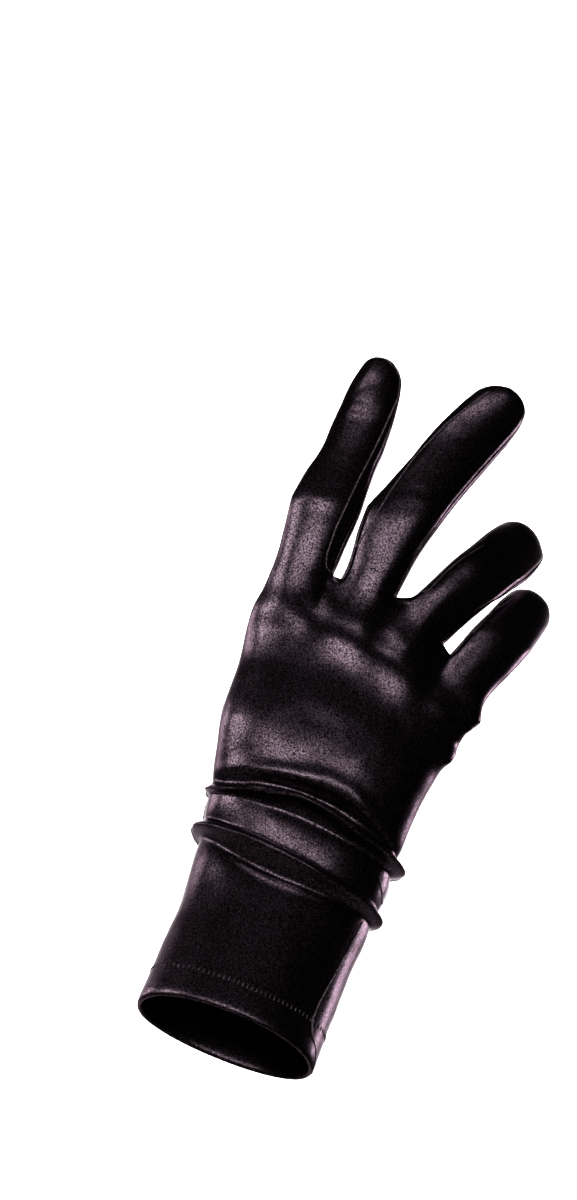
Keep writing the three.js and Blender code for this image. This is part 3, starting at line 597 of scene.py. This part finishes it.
# Pushes along lines in the picture: a point, how far the push reaches, and its way to the right and down
# there, all but the point in millimetres. A finger's push leaves the other fingers alone: it fades out
# where the next finger's line gets as near as its own, give or take fadeOut in millimetres.
fadeOut = 2
pushes = [
    ("index", [(399, 385, 4.0, 0.6, 0.2), (386, 422, 4.5, 2.0, 0.7), (374, 452, 4.5, 2.7, 0.9),
               (360, 492, 4.5, 1.9, 0.6), (350, 530, 4.0, 1.4, 0.4), (341, 562, 3.0, 0.6, 0.1)]),
    ("index", [(305, 470, 4.0, -0.8, -0.3), (294, 496, 4.5, -1.7, -0.6), (285, 528, 4.0, -0.5, -0.2)]),
    ("index", [(371, 362, 5.0, 0.0, -1.3), (388, 362, 5.0, 0.0, -1.0)]),
    ("middle", [(408, 516, 11.0, -0.5, -0.6), (438, 466, 11.0, -1.3, -1.5), (475, 436, 11.0, -1.4, -1.6),
                (511, 406, 11.0, -1.1, -1.6)]),
    ("middle", [(356, 556, 3.0, -0.9, -0.2), (368, 534, 4.5, -2.8, -0.8), (382, 511, 5.5, -4.0, -1.2),
                (394, 490, 5.5, -2.2, -0.9), (420, 460, 5.0, -0.8, -0.9), (450, 432, 5.0, -1.2, -1.3),
                (484, 398, 5.0, -1.2, -1.0)]),
    ("ring", [(478, 618, 4.0, 0.5, 0.6), (500, 598, 5.0, 1.4, 1.6), (526, 578, 5.0, 1.9, 1.9),
              (540, 560, 4.0, 1.2, 0.8)]),
    ("little", [(540, 628, 4.0, 0.6, 0.5), (524, 644, 5.0, 2.0, 1.5), (505, 666, 6.0, 2.0, 1.4),
                (486, 688, 6.0, 2.0, 1.2), (468, 706, 6.0, 2.3, 1.2), (458, 724, 5.5, 2.2, 1.2),
                (446, 746, 4.0, 1.0, 0.7), (440, 760, 3.0, 0.5, 0.3)]),
    ("little", [(466, 700, 3.0, 1.6, 0.2), (464, 716, 3.2, 2.8, 1.2), (461, 721, 2.2, 1.5, 1.0)]),
    ("little", [(446, 752, 2.4, 1.8, 0.9), (443, 757, 2.2, 1.9, 1.0)]),
    ("", [(180, 778, 3.2, 0.0, 1.9), (205, 778, 3.2, 0.0, 1.9), (225, 780, 3.2, 0.0, 1.7),
          (250, 785, 3.2, 0.0, 0.3), (280, 796, 3.2, 0.0, -1.4), (298, 803, 3.2, 0.0, -2.6),
          (316, 810, 3.2, 0.0, -2.4), (335, 818, 3.2, 0.0, -1.7), (352, 825, 3.2, 0.0, -0.5)]),
    ("", [(170, 822, 3.2, 0.0, -0.6), (200, 824, 3.2, 0.0, -0.6), (215, 828, 3.2, 0.0, -1.2),
          (240, 839, 3.2, 0.0, -2.2), (262, 848, 3.2, 0.0, -2.4), (285, 859, 3.2, 0.0, -2.2),
          (305, 868, 3.2, 0.0, -1.5), (325, 878, 3.2, 0.0, -0.4)]),
]


def bowed(spots, heights):
    handLine = np.array(handBow, float)
    shift = np.mean([np.interp(heights + step, *handLine.T) for step in bowRounding["hand"]], axis=0)
    bent, weights = np.zeros(len(spots)), np.zeros(len(spots))
    for line in fingerBows.values():
        line = np.array(line, float)
        steps = np.hypot(*np.diff(line[:, :2], axis=0).T) / picture["perMm"]
        along = np.concatenate([[0], np.cumsum(steps)])
        distance, place = nearLine(spots, np.column_stack([line[:, :2], along]))
        bows = [np.interp(place[:, 0] + step, along, line[:, 2]) for step in bowRounding["finger"]]
        weight = 1 - smoothStep(*bowReach, np.abs(distance))
        bent += np.mean(bows, axis=0) * weight
        weights += weight
    return shift + bent / np.maximum(weights, 1)


def pushed(spots):
    reach = {name: np.abs(nearLine(spots, line)[0]) for name, line in fingerLines.items()}
    shift = np.zeros((len(spots), 2))
    for name, line in pushes:
        mine = np.ones(len(spots))
        if name:
            others = np.min([reach[other] for other in reach if other != name], axis=0)
            mine = smoothStep(-fadeOut, fadeOut, others - reach[name])
        distance, values = nearLine(spots, line)
        shift += values[:, 1:] * (mine * np.exp(-(distance / values[:, 0]) ** 2))[:, None]
    return shift


# Size of the ripples and their lift in millimetres, and the heights where they begin and hold in full
ripples = [
    {"size": 14, "lift": 0.35},
    {"size": 6, "lift": 0.12},
]
rippleHeights = (12, 22)
facingRange = (0.02, 0.3)  # how much cloth has to face the camera for the picture's lines, as a cosine


def rippled(places):
    lift = np.zeros(len(places))
    for ripple in ripples:
        scale = 1 / (ripple["size"] * mm)
        lift += ripple["lift"] * np.array([noise.noise(Vector(place) * scale) for place in places])
    return lift


def placesOf(mesh):
    places = np.zeros(len(mesh.vertices) * 3)
    mesh.vertices.foreach_get("co", places)
    return places.reshape(-1, 3)


def shapeFingers(piece):
    places = placesOf(piece.data)
    spots = inPicture(places)
    shift = pushed(spots)
    right, up, near = np.array(cameraTurn).T
    bow = bowed(spots, places[:, 2] / mm)[:, None]
    places += (bow * near + shift[:, :1] * right - shift[:, 1:] * up) * mm
    piece.data.vertices.foreach_set("co", places.ravel())
    piece.data.update()


def sculpt(piece):
    mesh = piece.data
    places = placesOf(mesh)
    outwards = np.zeros(places.size)
    mesh.attributes["outwards"].data.foreach_get("vector", outwards)
    outwards = outwards.reshape(-1, 3)
    outwards /= np.maximum(np.linalg.norm(outwards, axis=1), 1e-6)[:, None]
    spots = inPicture(places)
    towards = np.array(cameraTurn)[:, 2]
    facing = smoothStep(*facingRange, outwards @ towards)
    lift = rippled(places) * smoothStep(*rippleHeights, places[:, 2] / mm)
    wrist = liftAlong(spots, wristLines, asValley)
    hand = liftAlong(spots, handLines, asSwell)
    lift += facing * (wrist + hand + sinkAlong(spots))
    places += outwards * lift[:, None] * mm
    mesh.vertices.foreach_set("co", places.ravel())
    mesh.update()


pieces = {name: clothPiece(name) for name in nodes}
for piece in pieces.values():
    shapeFingers(piece)
sculpt(pieces["trank"])
for name, piece in pieces.items():
    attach(piece, "root")
    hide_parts(name)
print("cloth pieces done")

# Seams: a thin rolled welt along each line, laid on the cloth where the line falls in the picture
seams = {
    "radius": 0.32 * mm,
    "spacing": 1.2,  # pixels between the points where a line is set on the cloth
    "leap": 4 * mm,  # a point farther than this from the last one is on other cloth
    "fewest": 4,  # points that make a seam
    "smoothings": 3,
    "lines": {
        "index": [(371, 357), (386, 359), (396, 369), (400, 379), (398, 397), (383, 431), (374, 450),
                  (358, 481), (336, 528), (327, 554), (326, 566), (330, 572), (339, 571)],
        "middle_left": [(488, 392), (447, 423), (414, 458), (392, 489), (372, 522), (352, 554),
                        (344, 566)],
        "middle_right": [(526, 424), (506, 446), (475, 480), (441, 518), (419, 549), (402, 577),
                         (397, 590)],
        "ring_left": [(400, 594), (413, 596), (430, 589), (447, 571), (463, 558), (484, 545)],
        "ring_right": [(540, 566), (519, 580), (497, 596), (470, 614), (443, 637), (446, 649)],
        "little_left": [(449, 651), (458, 648), (476, 630), (494, 611), (515, 597)],
        "side_low": [(311, 1076), (315, 1062), (316, 1049), (312, 1034), (312, 1020), (320, 1001),
                     (334, 976), (350, 947), (363, 921)],
        "side_band": [(379, 876), (382, 893), (382, 908)],
    },
}
hem = {
    "height": 11.5 * mm,
    "stitches": 104,
    "length": 1.7 * mm,
    "thickness": 0.42 * mm,
    "stand": 0.05 * mm,  # how far a stitch's middle stands off the cloth
    "middle": (2 * mm, 0),  # where the cuff's axis passes at that height
    "reach": 0.1,  # how far from the axis the way in to the cloth starts
    "sphere": (6, 5),  # segments and rings of a stitch
}


def makeSeams(tree):
    welts = []
    for name, line in seams["lines"].items():
        path = []
        for start, end in zip(line[:-1], line[1:]):
            steps = max(int(math.dist(start, end) / seams["spacing"]), 1)
            for step in range(steps):
                share = step / steps
                spot = [a + (b - a) * share for a, b in zip(start, end)]
                place = tree.ray_cast(cameraPlace, cameraRay(spot))[0]
                if place is None:
                    continue
                if not path or (place - path[-1]).length < seams["leap"]:
                    path.append(place)
        if len(path) < seams["fewest"]:
            print("seam left out", name)
            continue
        for _ in range(seams["smoothings"]):
            inner = [(a + b * 2 + c) / 4 for a, b, c in zip(path, path[1:], path[2:])]
            path = [path[0], *inner, path[-1]]
        curve = bpy.data.curves.new("seam_" + name, "CURVE")
        curve.dimensions = "3D"
        curve.bevel_depth = seams["radius"]
        curve.bevel_resolution = 1
        curve.use_fill_caps = True
        spline = curve.splines.new("POLY")
        spline.points.add(len(path) - 1)
        for point, place in zip(spline.points, path):
            point.co = (*place, 1)
        welt = bpy.data.objects.new("seam_" + name, curve)
        bpy.context.scene.collection.objects.link(welt)
        selectOnly(welt)
        bpy.ops.object.convert(target="MESH")
        bpy.ops.object.shade_smooth()
        welts.append(bpy.context.object)
    selectOnly(welts[0])
    for welt in welts:
        welt.select_set(True)
    bpy.ops.object.join()
    joined = bpy.context.object
    joined.name = "seam_welts"
    joined.data.materials.clear()
    joined.data.materials.append(thread)
    return joined


def makeHemStitches(tree):
    bpy.ops.object.select_all(action="DESELECT")
    segments, rings = hem["sphere"]
    bpy.ops.mesh.primitive_uv_sphere_add(segments=segments, ring_count=rings, radius=0.5)
    stitch = bpy.context.object
    row = bmesh.new()
    for i in range(hem["stitches"]):
        turn = 2 * math.pi * i / hem["stitches"]
        away = Vector((math.cos(turn), math.sin(turn), 0))
        start = Vector((*hem["middle"], hem["height"])) + away * hem["reach"]
        place, normal, _, _ = tree.ray_cast(start, -away)
        if place is None:
            continue
        before = len(row.verts)
        row.from_mesh(stitch.data)
        row.verts.ensure_lookup_table()
        upright = (Vector((0, 0, 1)) - normal * normal.z).normalized()
        side = upright.cross(normal)
        for vert in row.verts[before:]:
            x, y, z = vert.co
            vert.co = (place + side * x * hem["thickness"] + upright * z * hem["length"]
                       + normal * (y * hem["thickness"] + hem["stand"]))
    mesh = bpy.data.meshes.new("hem_stitches")
    row.to_mesh(mesh)
    row.free()
    stitches = bpy.data.objects.new("hem_stitches", mesh)
    bpy.context.scene.collection.objects.link(stitches)
    bpy.data.objects.remove(stitch)
    mesh.materials.append(thread)
    selectOnly(stitches)
    bpy.ops.object.shade_smooth()
    return stitches


tree = BVHTree.FromObject(pieces["trank"], bpy.context.evaluated_depsgraph_get())
for piece in (makeSeams(tree), makeHemStitches(tree)):
    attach(piece, "root")
print("seams and stitches done")
